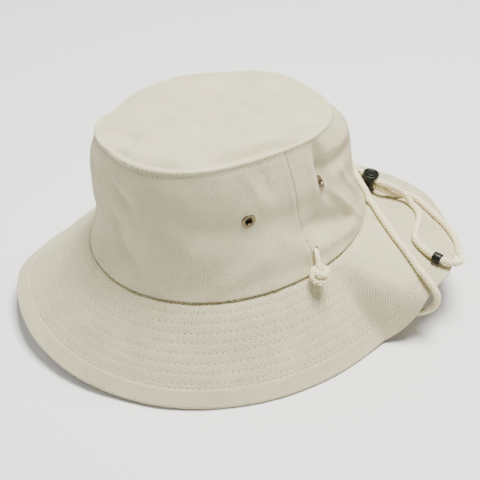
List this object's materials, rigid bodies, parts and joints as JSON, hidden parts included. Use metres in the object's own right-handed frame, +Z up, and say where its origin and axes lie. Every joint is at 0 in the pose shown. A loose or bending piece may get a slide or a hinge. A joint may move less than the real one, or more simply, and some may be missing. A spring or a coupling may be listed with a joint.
{
  "type": "bush hat",
  "caption": "Soft cotton bush hat with a domed crown, a wide drooping stitched brim, brass eyelets and a braided chin cord with a sprung cord lock and a bead.",
  "frame": {"origin": "on the surface that the brim rests on, under the middle of the brim's box", "axes": "+Z up; -Y towards the hat's front; +X towards the wearer's left"},
  "size_m": [0.2757, 0.3296, 0.1559],
  "materials": {
    "cloth": "stone cotton twill, matt",
    "cord": "cream braided cotton, matt",
    "eyelet": "antique brass, darkened",
    "lock": "black moulded plastic, glossy"
  },
  "bodies": {
    "hat": {"crown_top": "cloth", "crown_back": "cloth", "crown_front": "cloth", "brim": "cloth", "eyelet_left_front": "eyelet", "eyelet_left_back": "eyelet", "eyelet_right_back": "eyelet", "eyelet_right_front": "eyelet", "chin_cord_left": "cord", "knot_left": "cord", "chin_cord_right": "cord", "knot_right": "cord", "toggle_barrel": "lock", "bead": "lock"},
    "plunger": {"toggle_plunger": "lock"}
  },
  "joints": [
    {"name": "plunger_press", "type": "slide", "parent": "hat", "child": "plunger", "axis": [-0.1102, -0.0601, -0.9921], "range_m": [0, 0.002], "stiffness_N_per_m": 400, "springref_m": -0.002}
  ]
}
